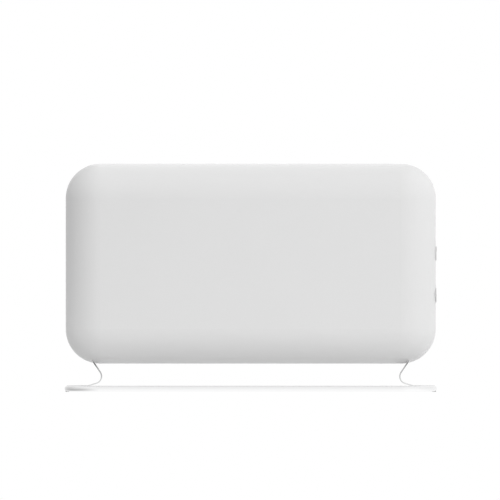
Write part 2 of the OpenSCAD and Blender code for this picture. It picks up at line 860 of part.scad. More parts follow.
module side_plate() difference() {
    union() {
        translate([plate_x, 0, 0]) along_x(sheet_t) web_outline();
        translate([0, 0, mid_z]) bent_sheet(
            [[plate_x, plate_lap + sheet_r - web_r], [plate_x, flange_y], [plate_x + plate_flange, flange_y]],
            [0, sheet_r, 0], sheet_t, plate_flange_h);
        sheet_across_y() bent_sheet(
            [[plate_x, plate_foot_z + sheet_r + plate_lap], [plate_x, plate_foot_z],
            [plate_x + plate_foot_l, plate_foot_z]], [0, sheet_r, 0], sheet_t, plate_foot_w);
    }
    for (y = [-shield_r, shield_r], z = shield_tab_z) translate([plate_x, y, z])
        cube([punch, sheet_t + 2 * hole_play, shield_tab_w + 2 * hole_play], center = true);
    for (z = chassis_screw_z) translate([chassis_screw_x, -frame_r - over, z])
        rod_y(chassis_screw_d / 2 + hole_play, punch);
    for (y = [-rail_screw_y, rail_screw_y]) translate([rail_screw_x, y, rail_top - over])
        cylinder(r = chassis_screw_d / 2 + hole_play, h = punch);
}

module left_side_plate() color(zinc_c) difference() {
    mirror([1, 0, 0]) side_plate();
    translate([-plate_x - punch / 2, neutral_y, neutral_z]) rod_x(neutral_hole_r, punch);
}

module right_side_plate() color(zinc_c) difference() {
    side_plate();
    translate([plate_x - punch / 2, 0, 0]) {
        translate([0, neutral_y, neutral_z]) rod_x(neutral_hole_r, punch);
        translate([0, 0, control_z]) rod_x(cutout_window_r, punch);
        for (s = [-1, 1]) translate([0, 0, control_z + s * bracket_screw_z])
            rod_x(chassis_screw_d / 2 + screw_play, punch);
        for (y = [-cutout_hole_y, cutout_hole_y]) translate([0, y, control_z])
            rod_x(chassis_screw_d / 2 + screw_play, punch);
        for (y = [-peg_y, peg_y]) {
            translate([0, y, tilt_z]) rod_x(peg_r + hole_play, punch);
            translate([0, block_y + block_size[1] / 2 + y, block_z + block_size[2] / 2])
                rod_x(peg_r + hole_play, punch);
        }
    }
}

module bottom_rail() color(zinc_c) difference() {
    z = rail_z + rail_t / 2;
    r = sheet_bend_r + rail_t / 2;
    sheet_across_y() bent_sheet(
        [[-rail_end_x, tab_top], [-rail_end_x, z], [rail_end_x, z], [rail_end_x, tab_top]],
        [0, r, r, 0], rail_t, rail_w);
    both_sides() for (y = [-1, 1]) {
        translate([rail_end_x - punch / 2, y * leg_screw_y, leg_screw_z])
            rod_x(leg_screw_d / 2 + hole_play, punch);
        translate([rail_screw_x, y * rail_screw_y, rail_z - over])
            cylinder(r = chassis_screw_d / 2 + screw_play, h = punch);
    }
    for (i = [-rail_slots:rail_slots]) translate([i * rail_slot_pitch, 0, rail_z - over])
        linear_extrude(rail_t + 2 * over) rounded_square([rail_slot_l, rail_slot_w], rail_slot_r);
}

// Heat shields, front side -1 and rear side 1, that wrap the low and high edge axes by two angles
module heat_shield(side, low_angle, high_angle) {
    r = shield_r;
    low_end = [-cos(low_angle), -sin(low_angle)] * r
        + [sin(low_angle), -cos(low_angle)] * shield_lip;
    high_end = [-cos(high_angle), sin(high_angle)] * r
        + [sin(high_angle), cos(high_angle)] * shield_lip;
    mirror([0, side > 0 ? 1 : 0, 0]) {
        sheet_across_x() bent_sheet(
            [[low_end[0], low_axis_z + low_end[1]], [-r, low_axis_z - r * tan(low_angle / 2)],
            [-r, high_axis_z + r * tan(high_angle / 2)], [high_end[0], high_axis_z + high_end[1]]],
            [0, r, r, 0], sheet_t, shield_l);
        both_sides() for (z = shield_tab_z)
            translate([shield_l / 2 - over, -r - sheet_t / 2, z - shield_tab_w / 2])
                cube([shield_tab_l + over, sheet_t, shield_tab_w]);
    }
}

module front_heat_shield() color(alu_c) heat_shield(-1, front_low_angle, front_high_angle);
module rear_heat_shield() color(alu_c) heat_shield(1, rear_angle, rear_angle);

// Finned aluminium element with its heating rod
module fin(l) polygon([[core_d / 2 - over, -fin_root_t / 2], [l, -fin_tip_t / 2],
    [l, fin_tip_t / 2], [core_d / 2 - over, fin_root_t / 2]]);

module finned_element() color(alu_c) translate([0, 0, element_z]) difference() {
    along_x(element_l) difference() {
        union() {
            circle(core_d / 2);
            for (i = [0:fin_count - 1])
                rotate((i + 0.5) * 360 / fin_count) fin(fin_span / 2 - (i % 2) * fin_step);
        }
        circle(rod_d / 2 + rod_play);
    }
    cuts = floor((element_l / 2 - cut_w) / cut_pitch);
    for (i = [-cuts:cuts]) translate([i * cut_pitch, 0, 0]) along_x(cut_w) difference() {
        circle(fin_span);
        circle(fin_span / 2 - cut_depth);
    }
}

module heating_rod() color(zinc_c) translate([0, 0, element_z]) {
    translate([-rod_l / 2, 0, 0]) rod_x(rod_d / 2, rod_l);
    translate([-rod_l / 2 - pin_l, 0, 0]) rod_x(pin_d / 2, rod_l + 2 * pin_l);
}

module rod_insulators() color(ceramic_c) both_sides()
    translate([plate_x - sheet_t / 2 - bush_flange_t, 0, element_z]) difference() {
        union() {
            rod_x(bush_flange_r, bush_flange_t);
            rod_x(bush_r, bush_l);
        }
        translate([-over, 0, 0]) rod_x(rod_d / 2 + rod_play, bush_l + 2 * over);
    }

module thermal_cutout() color(dark_c) translate([plate_face_x, 0, control_z]) difference() {
    union() {
        rod_x(cutout_r, cutout_h);
        rotate([90, 0, 90]) linear_extrude(cutout_flange_t)
            rounded_square([2 * cutout_hole_y + cutout_ear, cutout_ear], cutout_ear_r);
        for (y = [-tab_y, tab_y]) translate([cutout_h - over, y, 0]) rod_x(lead_d / 2, over + tail_l);
    }
    for (y = [-cutout_hole_y, cutout_hole_y]) translate([-over, y, 0])
        rod_x(chassis_screw_d / 2 + hole_play, edge_r);
}

// Tilt switch
module tilt_shape(inset)
    rounded_square([tilt_w - 2 * inset, tilt_h - 2 * inset], tilt_corner_r - inset);

module tilt_switch_housing() color(dark_c) {
    translate([plate_face_x, 0, tilt_z]) {
        difference() {
            rotate([90, 0, 90]) linear_extrude(tilt_depth) tilt_shape(0);
            translate([tilt_wall, 0, 0]) rotate([90, 0, 90])
                linear_extrude(tilt_depth) tilt_shape(tilt_wall);
        }
        for (y = [-peg_y, peg_y]) translate([-peg_l, y, 0]) rod_x(peg_r, peg_l + over);
        translate([tilt_wall / 2, 0, pivot_z - tilt_z]) rod_x(pivot_r, tilt_depth - tilt_wall / 2);
    }
}

module tilt_switch_cover() color(dark_c) translate([plate_face_x + tilt_depth, 0, tilt_z])
    rotate([90, 0, 90]) linear_extrude(tilt_wall) tilt_shape(0);

module tilt_pendulum() color(zinc_c) translate([bob_x, 0, pivot_z]) difference() {
    union() {
        rod_x(pivot_hub_r, bob_t);
        translate([bob_t / 2 - arm_t / 2, -arm_w / 2, -bob_drop]) cube([arm_t, arm_w, bob_drop]);
        translate([0, 0, -bob_drop]) rod_x(bob_d / 2, bob_t);
    }
    translate([-over, 0, 0]) rod_x(pivot_r + pivot_play, bob_t + 2 * over);
}

// Terminal block with its clamps
module terminal_block() color(ceramic_c) translate([block_x, block_y, block_z]) difference() {
    union() {
        cube(block_size);
        for (y = [-peg_y, peg_y]) translate([-peg_l, block_size[1] / 2 + y, block_size[2] / 2])
            rod_x(peg_r, peg_l + over);
    }
    pitch = block_size[1] / clamp_count;
    for (i = [0:clamp_count - 1])
        translate([block_size[0] - clamp_depth, pitch * (i + 0.5), block_size[2] / 2])
            rod_x(clamp_r, edge_r);
    for (i = [1:clamp_count - 1])
        translate([block_size[0] - groove_depth, pitch * i - groove_w / 2, -over])
            cube([groove_depth + over, groove_w, block_size[2] + 2 * over]);
}

module cable_gland() color(dark_c) at_gland() difference() {
    union() {
        translate([gland_seat_r - gland_barrel_l, 0, 0]) rod_x(gland_d / 2, gland_barrel_l);
        translate([gland_seat_r, 0, 0]) rod_x(collar_d / 2, collar_t);
    }
    translate([gland_seat_r - gland_barrel_l - over, 0, 0]) rod_x(cord_hole_d / 2, edge_r);
}

// Lead that follows points along the axes with round bends
module lead_bend(p, a, b) multmatrix([
    [-b[0], a[0], cross(a, b)[0], p[0] + (b[0] - a[0]) * lead_bend_r],
    [-b[1], a[1], cross(a, b)[1], p[1] + (b[1] - a[1]) * lead_bend_r],
    [-b[2], a[2], cross(a, b)[2], p[2] + (b[2] - a[2]) * lead_bend_r], [0, 0, 0, 1]])
    rotate_extrude(angle = 90) translate([lead_bend_r, 0]) circle(lead_d / 2);

module lead(p) {
    last = len(p) - 1;
    for (i = [0:last - 1]) {
        dir = unit(p[i + 1] - p[i]);
        start = i == 0 ? 0 : lead_bend_r;
        end = i == last - 1 ? 0 : lead_bend_r;
        l = norm(p[i + 1] - p[i]) - start - end;
        translate(p[i] + dir * start) rotate([0, acos(dir[2]), atan2(dir[1], dir[0])])
            cylinder(r = lead_d / 2, h = l);
    }
    for (i = [1:last - 1]) lead_bend(p[i], unit(p[i] - p[i - 1]), unit(p[i + 1] - p[i]));
}

module live_lead() color("brown") lead([
    [lead_x, lead_y, block_z + block_size[2]], [lead_x, lead_y, selector_z],
    [lead_x, tab_y, selector_z], [bracket_face - selector_l - contact_l, tab_y, selector_z]]);

module switched_lead() color("black") lead([
    [bracket_face - selector_l - contact_l, -tab_y, selector_z], [link_x, -tab_y, selector_z],
    [link_x, -tab_y, thermostat_z], [bracket_face - thermostat_l - contact_l, -tab_y, thermostat_z]]);

module cutout_lead() color("black") lead([
    [bracket_face - thermostat_l - contact_l, tab_y, thermostat_z], [feed_x, tab_y, thermostat_z],
    [feed_x, tab_y, control_z], [plate_face_x + cutout_h + tail_l, tab_y, control_z]]);

module element_lead() color("black") lead([
    [plate_face_x + cutout_h + tail_l, -tab_y, control_z], [feed_x, -tab_y, control_z],
    [feed_x, -tab_y, drop_z], [feed_x, drop_y, drop_z], [feed_x, drop_y, element_z],
    [feed_x, -pin_d / 2, element_z]]);

module neutral_lead() color("royalblue") lead([
    [lead_x, neutral_y, block_z], [lead_x, neutral_y, neutral_z],
    [-feed_x, neutral_y, neutral_z], [-feed_x, neutral_y, element_z],
    [-feed_x, pin_d / 2, element_z]]);

// Stand
module leg() difference() {
    sheet_across_y() bent_sheet(
        [[ring_x + leg_overhang, foot_z], [knee_x, foot_z], heel, [tab_x, tab_z], [tab_x, tab_top]],
        [0, small_bend_r, leg_bend_r, small_bend_r, 0], leg_t, leg_w, leg_t / 2);
    for (y = [-leg_screw_y, leg_screw_y]) translate([tab_x - punch / 2, y, leg_screw_z])
        rod_x(leg_screw_d / 2 + hole_play, punch);
}

module right_leg() color(chrome_c) leg();
module left_leg() color(chrome_c) mirror([1, 0, 0]) leg();

module base_ring() color(chrome_c) difference() {
    run_x = ring_x - ring_corner_r;
    run_y = ring_y - ring_corner_r;
    translate([0, 0, ring_z]) for (s = [-1, 1]) {
        translate([-run_x, s * ring_y, 0]) rod_x(ring_r, 2 * run_x);
        translate([s * ring_x, -run_y, 0]) rod_y(ring_r, 2 * run_y);
        for (e = [-1, 1]) translate([s * run_x, e * run_y, 0])
            rotate(s > 0 ? (e > 0 ? 0 : -90) : (e > 0 ? 90 : 180))
                rotate_extrude(angle = 90) translate([ring_corner_r, 0]) circle(ring_r);
    }
    both_sides() translate([ring_x - ring_r, -leg_w / 2, flat_z]) cube([ring_d, leg_w, ring_d]);
}

module foot_pads() color(pad_c) both_sides() for (e = [-1, 1])
    translate([ring_x, e * (ring_y - ring_corner_r - pad_l / 2), 0]) difference() {
        translate([-pad_w / 2, -pad_l / 2, 0]) cube([pad_w, pad_l, pad_t + pad_rise]);
        translate([0, -pad_l, ring_z]) rod_y(ring_r + screw_play, 2 * pad_l);
    }

// Fasteners, drawn with the head's underside at the origin and the head towards -X
module screw(d, l, head_r, head_h) {
    rod_x(d / 2, l);
    difference() {
        translate([-head_h, 0, 0]) rod_x(head_r, head_h);
        for (size = [[cross_w, cross_l * head_r], [cross_l * head_r, cross_w]])
            translate([-head_h - over, 0, 0]) cube([head_h + 2 * over, size[0], size[1]], center = true);
    }
}

module small_screw(l) screw(chassis_screw_d, l, small_head_r, small_head_h);

module case_screws() color(zinc_c) at_posts() translate([0, well_floor, 0]) rotate([0, 0, -90])
    screw(case_screw_d, case_screw_l, case_head_r, case_head_h);

module chassis_screws() color(zinc_c) at_chassis_screws()
    translate([0, sheet_t, 0]) rotate([0, 0, -90]) small_screw(chassis_screw_l);

module rail_screws() color(zinc_c) both_sides() for (y = [-rail_screw_y, rail_screw_y])
    translate([rail_screw_x, y, rail_top + sheet_t]) rotate([0, 90, 0]) small_screw(rail_screw_l);

module at_leg_screws() both_sides()
    for (y = [-leg_screw_y, leg_screw_y]) translate([rail_end_x - rail_t / 2, y, leg_screw_z]) children();

module leg_screws() color(zinc_c) at_leg_screws()
    screw(leg_screw_d, rail_t + leg_t + leg_nut_h + leg_screw_tail, leg_head_d / 2, leg_head_h);

module leg_nuts() color(zinc_c) at_leg_screws() translate([rail_t + leg_t, 0, 0]) difference() {
    rotate([0, 90, 0]) cylinder(r = leg_nut_d / 2, h = leg_nut_h, $fn = 6);
    translate([-over, 0, 0]) rod_x(leg_screw_d / 2 + screw_play, leg_nut_h + 2 * over);
}

module control_screws() color(zinc_c) for (z = [selector_z, thermostat_z], y = [-1, 1])
    translate([bracket_x, y * control_hole_y, z]) rotate([0, 0, 180]) small_screw(control_screw_l);

module panel_screws() color(zinc_c) for (y = [-boss_y, boss_y])
    translate([bracket_face, y, control_z]) small_screw(panel_screw_l);

module bracket_screws() color(zinc_c) for (s = [-1, 1])
    translate([plate_face_x + sheet_t, 0, control_z + s * bracket_screw_z])
        rotate([0, 0, 180]) small_screw(bracket_screw_l);

module cutout_screws() color(zinc_c) for (y = [-cutout_hole_y, cutout_hole_y])
    translate([plate_face_x + cutout_flange_t, y, control_z])
        rotate([0, 0, 180]) small_screw(bracket_screw_l);

front_shell();
rear_shell();
outlet_grille();
intake_grille();
control_panel();
selector_knob();
thermostat_knob();
selector_shaft();
thermostat_shaft();
selector_switch();
thermostat_body();
control_bracket();
left_side_plate();
right_side_plate();
bottom_rail();
front_heat_shield();
rear_heat_shield();
finned_element();
heating_rod();
rod_insulators();
thermal_cutout();
tilt_switch_housing();
tilt_switch_cover();
tilt_pendulum();
terminal_block();
cable_gland();
live_lead();
switched_lead();
cutout_lead();
element_lead();
neutral_lead();
left_leg();
right_leg();
base_ring();
foot_pads();
case_screws();
chassis_screws();
rail_screws();
leg_screws();
leg_nuts();
control_screws();
panel_screws();
bracket_screws();
cutout_screws();
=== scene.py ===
import json

import bpy
import numpy as np
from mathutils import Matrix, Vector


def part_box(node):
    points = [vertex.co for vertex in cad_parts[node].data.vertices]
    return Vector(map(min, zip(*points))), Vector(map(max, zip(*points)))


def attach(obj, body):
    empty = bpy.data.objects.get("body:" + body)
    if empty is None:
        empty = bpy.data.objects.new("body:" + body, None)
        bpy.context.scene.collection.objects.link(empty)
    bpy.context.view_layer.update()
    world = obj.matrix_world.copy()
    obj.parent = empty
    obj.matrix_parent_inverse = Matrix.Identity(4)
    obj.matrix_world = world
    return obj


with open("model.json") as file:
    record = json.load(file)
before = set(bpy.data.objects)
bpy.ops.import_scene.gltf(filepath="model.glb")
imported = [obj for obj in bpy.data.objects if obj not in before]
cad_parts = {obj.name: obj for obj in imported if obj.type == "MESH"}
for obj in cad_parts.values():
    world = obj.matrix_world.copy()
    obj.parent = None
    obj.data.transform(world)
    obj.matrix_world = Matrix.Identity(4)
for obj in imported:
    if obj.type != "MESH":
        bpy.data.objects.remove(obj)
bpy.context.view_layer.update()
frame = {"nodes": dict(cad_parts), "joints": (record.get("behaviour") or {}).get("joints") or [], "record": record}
print("heater frame loaded:", len(frame["nodes"]), "CAD pieces")


# lowest and highest corner of a CAD piece, to a micrometre
def corners(name):
    return [[round(value, 6) for value in corner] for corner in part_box(name)]


class Wire:
    # one output of a shader node; + - and * between wires and numbers add Math nodes
    def __init__(self, tree, socket=None):
        self.tree = tree
        self.socket = socket

    # any node: its type, then its settings, then values or wires for its inputs
    def node(self, kind, settings=None, inputs=None, output=0):
        made = self.tree.nodes.new(kind)
        for key, value in (settings or {}).items():
            if key == "stops":
                ramp = made.color_ramp
                while len(ramp.elements) < len(value):
                    ramp.elements.new(0.5)
                for stop, (place, shade) in zip(ramp.elements, value):
                    stop.position = place
                    stop.color = (shade, shade, shade, 1.0)
            else:
                setattr(made, key, value)
        for key, value in (inputs or {}).items():
            if isinstance(value, Wire):
                self.tree.links.new(value.socket, made.inputs[key])
            else:
                made.inputs[key].default_value = value
        return Wire(self.tree, made.outputs[output])

    # one Math node with this wire first; MAXIMUM alone keeps what is above zero
    def maths(self, operation, second=0.0):
        return self.node("ShaderNodeMath", {"operation": operation}, {0: self, 1: second})

    # a number on the left of the operator goes first
    def turned(self, operation, first):
        return self.node("ShaderNodeMath", {"operation": operation}, {0: first, 1: self})

    def __add__(self, other):
        return self.maths("ADD", other)

    def __radd__(self, other):
        return self.maths("ADD", other)

    def __sub__(self, other):
        return self.maths("SUBTRACT", other)

    def __rsub__(self, other):
        return self.turned("SUBTRACT", other)

    def __mul__(self, other):
        return self.maths("MULTIPLY", other)

    def __rmul__(self, other):
        return self.maths("MULTIPLY", other)

    # coordinates stretched by three factors, so that a pattern turns into streaks
    def stretched(self, factors):
        return self.node("ShaderNodeVectorMath", {"operation": "MULTIPLY"}, {0: self, 1: factors})

    # soft noise from 0 to 1, about 0.5 on average; scale is in lumps per metre
    def noise(self, scale, detail=2.0):
        return self.node("ShaderNodeTexNoise", None, {"Vector": self, "Scale": scale, "Detail": detail})

    # grey ramp between two places, 0 below the first and 1 above the second
    def step(self, low, high):
        return self.node("ShaderNodeValToRGB", {"stops": [(low, 0.0), (high, 1.0)]}, {0: self})

    # a colour laid over a wire's colour as strongly as this wire says
    def over(self, below, colour):
        return self.node("ShaderNodeMix", {"data_type": "RGBA"}, {0: self, 6: below, 7: (*colour, 1.0)}, 2)

    # colour between two fixed colours, picked by this wire
    def tint(self, first, second):
        return self.over((*first, 1.0), second)


# a new material: returns it, a setter for its surface, and a wire of object coordinates in metres
def startMaterial(name, fixed):
    material = bpy.data.materials.new(name)
    material.use_nodes = True
    tree = material.node_tree
    surface = tree.nodes["Principled BSDF"]
    for key, value in fixed.items():
        surface.inputs[key].default_value = value
    place = Wire(tree).node("ShaderNodeTexCoord", output="Object")

    def feed(**inputs):
        for key, value in inputs.items():
            tree.links.new(value.socket, surface.inputs[key.replace("_", " ")])

    return material, feed, place


# relief in metres from a height wire that runs from 0 to 1
def relief(height, depth):
    return height.node("ShaderNodeBump", None, {"Strength": 1.0, "Distance": depth, "Height": height})


# satin moulded plastic: spark-eroded grain, soft flow marks in the gloss, a trace of mottle;
# the patterns are in lumps per metre, and their gloss is how far each one moves the roughness
mouldedWhite = {"dark": (0.76, 0.76, 0.76), "light": (0.84, 0.84, 0.84), "roughness": 0.42,
                "coat": 0.35, "coatRoughness": 0.06, "mottle": 7.0, "mottleShare": 0.2, "flow": 26.0,
                "flowStretch": (1.0, 2.2, 3.0), "flowGloss": 0.08, "grain": 1400.0, "grainShare": 0.8,
                "grainGloss": 0.16, "grainDepth": 0.00015}
mouldedGrey = dict(mouldedWhite, dark=(0.65, 0.65, 0.65), light=(0.71, 0.71, 0.71), roughness=0.46,
                   coat=0.0, mottle=60.0, flow=90.0, grain=2400.0, grainDepth=0.00005)


# colour = a mix of two greys by mottle and grain; gloss wanders with the flow marks and the grain
def mouldedPlastic(name, look):
    material, feed, place = startMaterial(name, {"IOR": 1.49, "Coat Weight": look["coat"],
                                                 "Coat Roughness": look["coatRoughness"]})
    grain = place.noise(look["grain"], detail=3.0)
    flow = place.stretched(look["flowStretch"]).noise(look["flow"], detail=4.0)
    mottle = place.noise(look["mottle"], detail=3.0)
    blend = mottle * look["mottleShare"] + grain * look["grainShare"]
    dull = look["roughness"] + (flow - 0.5) * look["flowGloss"] + (grain - 0.5) * look["grainGloss"]
    feed(Base_Color=blend.tint(look["dark"], look["light"]), Roughness=dull,
         Normal=relief(grain, look["grainDepth"]))
    return material


# bright plated bar and strip: a mirror with faint polishing marks; on a strip's sheared edges, past
# edgeFrom across, shade is painted into the colour: painted shade that deepens towards the body's underside,
# then a painted reflection of the housing just above it; each stop is a height and how bright the painted
# edge is there, and edgeRamp is the height of the whole ramp
chromeLook = {"dark": (0.93, 0.93, 0.935), "light": (0.965, 0.965, 0.965), "roughness": 0.07,
              "marks": 900.0, "marksStretch": (1.0, 0.18, 3.0), "marksGloss": 0.03, "marksDepth": 0.000002,
              "haze": 35.0, "hazeShare": 0.8, "hazeFrom": (0.45, 0.75), "hazeGloss": 0.05,
              "edgeFrom": 0.9, "edge": ((0.0, 1.0), (0.1, 1.0)), "edgeRamp": 0.1}
# the legs' painted shade by height; the left strip's copy is painted darker, as the light falls from the right
rightLegPaintedShadeLook = dict(chromeLook, roughness=0.10, edgeFrom=0.0186,
                    edge=((0.012, 0.90), (0.020, 0.88), (0.025, 0.70), (0.037, 0.62),
                          (0.0425, 0.41), (0.0455, 0.26), (0.048, 0.42), (0.050, 0.60)))
leftLegPaintedShadeLook = dict(rightLegPaintedShadeLook,
                   edge=((0.012, 0.84), (0.020, 0.79), (0.025, 0.60), (0.037, 0.52),
                         (0.0425, 0.28), (0.0455, 0.18), (0.048, 0.36), (0.050, 0.55)))


# colour = near-white metal by haze and marks, mixed with black by 1 - the edge's painted brightness, so painted
# shade darkens the strips' edges by height
def polishedChrome(name, look):
    material, feed, place = startMaterial(name, {"Metallic": 1.0})
    marks = place.stretched(look["marksStretch"]).noise(look["marks"], detail=3.0)
    haze = place.noise(look["haze"], detail=4.0)
    across = place.node("ShaderNodeSeparateXYZ", None, {0: place}, 1).maths("ABSOLUTE")
    height = place.node("ShaderNodeSeparateXYZ", None, {0: place}, 2)
    onEdge = across.maths("GREATER_THAN", look["edgeFrom"])
    perMetre = 1.0 / look["edgeRamp"]
    stops = [(z * perMetre, share) for z, share in look["edge"]]
    # painted shade: the strip's edges darker towards the body's underside, lighter again just above it
    edge = place.node("ShaderNodeValToRGB", {"stops": stops}, {0: height * perMetre})
    blend = haze * look["hazeShare"] + marks * (1.0 - look["hazeShare"])
    bright = blend.tint(look["dark"], look["light"])
    hazy = haze.step(*look["hazeFrom"])
    feed(Base_Color=(onEdge * (1.0 - edge)).over(bright, (0.0, 0.0, 0.0)),
         Roughness=look["roughness"] + hazy * look["hazeGloss"] + marks * look["marksGloss"],
         Normal=relief(marks, look["marksDepth"]))
    return material


# zinc-plated steel: crystal spangle that shifts in brightness and gloss
zincLook = {"dark": (0.50, 0.51, 0.53), "light": (0.68, 0.69, 0.70), "roughness": 0.34,
            "spangle": 240.0, "spangleShare": 0.55, "spangleGloss": 0.10, "stain": 18.0,
            "stainGloss": 0.12, "fine": 2200.0, "fineRelief": 0.6, "depth": 0.000008}


# colour = a mix of two greys by the crystals' own shades and a slow stain
def zincSteel(name, look):
    material, feed, place = startMaterial(name, {"Metallic": 1.0})
    cells = place.node("ShaderNodeTexVoronoi", {"feature": "F1"},
                       {"Vector": place, "Scale": look["spangle"]}, 1)
    shade = cells.node("ShaderNodeRGBToBW", None, {0: cells})
    stain = place.noise(look["stain"], detail=5.0)
    fine = place.noise(look["fine"], detail=2.0)
    blend = shade * look["spangleShare"] + stain * (1.0 - look["spangleShare"])
    feed(Base_Color=blend.tint(look["dark"], look["light"]),
         Roughness=look["roughness"] + shade * look["spangleGloss"] + (stain - 0.5) * look["stainGloss"],
         Normal=relief(fine * look["fineRelief"] + shade * (1.0 - look["fineRelief"]), look["depth"]))
    return material


# bare aluminium with lines along X: rolling streaks on sheet, die lines on an extrusion
sheetLook = {"dark": (0.70, 0.71, 0.72), "light": (0.84, 0.845, 0.85), "roughness": 0.30,
             "lines": 700.0, "length": 0.012, "lineShare": 0.6, "lineGloss": 0.20, "lineDepth": 0.000006,
             "bloom": 22.0, "bloomGloss": 0.10}
finLook = dict(sheetLook, dark=(0.60, 0.61, 0.63), light=(0.80, 0.81, 0.82), roughness=0.38,
               lines=1100.0, length=0.003, lineDepth=0.00001)


# colour = a mix of two greys by the lines and a slow bloom; squeezing X draws lumps out into lines
def bareAluminium(name, look):
    material, feed, place = startMaterial(name, {"Metallic": 1.0})
    lines = place.stretched((look["length"], 1.0, 1.0)).noise(look["lines"], detail=3.0)
    bloom = place.noise(look["bloom"], detail=4.0)
    blend = lines * look["lineShare"] + bloom * (1.0 - look["lineShare"])
    dull = look["roughness"] + (lines - 0.5) * look["lineGloss"] + (bloom - 0.5) * look["bloomGloss"]
    feed(Base_Color=blend.tint(look["dark"], look["light"]), Roughness=dull,
         Normal=relief(lines, look["lineDepth"]))
    return material


# sheathed rod: grey steel with straw and blue heat tint in slow bands along X
rodLook = {"steel": (0.42, 0.41, 0.40), "straw": (0.34, 0.26, 0.15), "blue": (0.14, 0.16, 0.22),
           "roughness": 0.42, "bands": 24.0, "bandStretch": (1.0, 0.25, 0.25), "strawFrom": (0.42, 0.62),
           "blueFrom": (0.56, 0.74), "scale": 1400.0, "scaleGloss": 0.25, "scaleDepth": 0.000015}


# colour = steel, then straw, then blue as the slow bands rise
def heatTintedRod(name, look):
    material, feed, place = startMaterial(name, {"Metallic": 1.0})
    bands = place.stretched(look["bandStretch"]).noise(look["bands"], detail=4.0)
    scale = place.noise(look["scale"], detail=4.0)
    straw = bands.step(*look["strawFrom"]).tint(look["steel"], look["straw"])
    feed(Base_Color=bands.step(*look["blueFrom"]).over(straw, look["blue"]),
         Roughness=look["roughness"] + (scale - 0.5) * look["scaleGloss"],
         Normal=relief(scale, look["scaleDepth"]))
    return material


# unglazed ceramic: matt, slightly chalky, with sparse dark iron specks
ceramicLook = {"dark": (0.74, 0.70, 0.61), "light": (0.83, 0.80, 0.73), "speck": (0.30, 0.24, 0.18),
               "roughness": 0.62, "specks": 900.0, "speckFrom": (0.70, 0.76), "speckStrength": 0.8,
               "chalk": 160.0, "grain": 2600.0, "grainGloss": 0.20, "grainRelief": 0.7, "depth": 0.00002}


# colour = chalky mix of two creams, with iron brown where the specks' noise is highest
def speckledCeramic(name, look):
    material, feed, place = startMaterial(name, {"IOR": 1.55})
    chalk = place.noise(look["chalk"], detail=5.0)
    grain = place.noise(look["grain"], detail=3.0)
    specks = place.noise(look["specks"], detail=1.0).step(*look["speckFrom"])
    body = chalk.tint(look["dark"], look["light"])
    bumps = grain * look["grainRelief"] + chalk * (1.0 - look["grainRelief"])
    feed(Base_Color=(specks * look["speckStrength"]).over(body, look["speck"]),
         Roughness=look["roughness"] + (grain - 0.5) * look["grainGloss"],
         Normal=relief(bumps, look["depth"]))
    return material


# glass-filled plastic: near black, with short pale fibres just under the skin
darkLook = {"dark": (0.022, 0.022, 0.024), "light": (0.045, 0.045, 0.047), "fibre": (0.12, 0.12, 0.12),
            "roughness": 0.50, "fibres": 1500.0, "fibreStretch": (0.22, 1.0, 0.9),
            "fibreFrom": (0.60, 0.72), "fibreStrength": 0.45, "fibreGloss": 0.08,
            "cloud": 120.0, "cloudGloss": 0.14, "grain": 2000.0, "grainDepth": 0.00002}


# colour = cloudy near-black, paler where the noise, drawn out along X into fibres, is high
def glassFilledPlastic(name, look):
    material, feed, place = startMaterial(name, {"IOR": 1.5})
    strands = place.stretched(look["fibreStretch"]).noise(look["fibres"], detail=2.0)
    fibres = strands.step(*look["fibreFrom"])
    cloud = place.noise(look["cloud"], detail=4.0)
    grain = place.noise(look["grain"], detail=3.0)
    resin = cloud.tint(look["dark"], look["light"])
    feed(Base_Color=(fibres * look["fibreStrength"]).over(resin, look["fibre"]),
         Roughness=look["roughness"] + (cloud - 0.5) * look["cloudGloss"] + fibres * look["fibreGloss"],
         Normal=relief(grain, look["grainDepth"]))
    return material


# soft lead insulation: clean colour, faint powder in the gloss
brownLead = {"dark": (0.085, 0.030, 0.010), "light": (0.120, 0.045, 0.016), "roughness": 0.34,
             "powder": 500.0, "powderFrom": (0.35, 0.80), "powderGloss": 0.22,
             "skin": 1300.0, "skinDepth": 0.00001}
blackLead = dict(brownLead, dark=(0.008, 0.008, 0.008), light=(0.016, 0.016, 0.016))
blueLead = dict(brownLead, dark=(0.010, 0.045, 0.230), light=(0.018, 0.070, 0.310))


# colour = two close shades mixed by the powder, which also dulls the gloss
def leadInsulation(name, look):
    material, feed, place = startMaterial(name, {"IOR": 1.53})
    powder = place.noise(look["powder"], detail=4.0)
    feed(Base_Color=powder.tint(look["dark"], look["light"]),
         Roughness=look["roughness"] + powder.step(*look["powderFrom"]) * look["powderGloss"],
         Normal=relief(place.noise(look["skin"], detail=2.0), look["skinDepth"]))
    return material


# pad rubber: pale grey silicone with a dusty bloom
rubberLook = {"dark": (0.40, 0.40, 0.40), "light": (0.46, 0.46, 0.455), "roughness": 0.70,
              "bloom": 300.0, "bloomGloss": 0.20, "grain": 2400.0, "grainDepth": 0.00003}


# colour and gloss both follow the bloom; the grain is relief only
def padRubber(name, look):
    material, feed, place = startMaterial(name, {"IOR": 1.52})
    bloom = place.noise(look["bloom"], detail=5.0)
    grain = place.noise(look["grain"], detail=3.0)
    feed(Base_Color=bloom.tint(look["dark"], look["light"]),
         Roughness=look["roughness"] + (bloom - 0.5) * look["bloomGloss"],
         Normal=relief(grain, look["grainDepth"]))
    return material


# pad-printed ink of the control scales: slightly uneven grey
inkLook = {"dark": (0.11, 0.11, 0.115), "light": (0.15, 0.15, 0.155), "roughness": 0.55,
           "cover": 1800.0, "coverGloss": 0.20}


# colour and gloss follow how well the ink covers
def printInk(name, look):
    material, feed, place = startMaterial(name, {"IOR": 1.48})
    cover = place.noise(look["cover"], detail=3.0)
    feed(Base_Color=cover.tint(look["dark"], look["light"]),
         Roughness=look["roughness"] + (cover - 0.5) * look["coverGloss"])
    return material


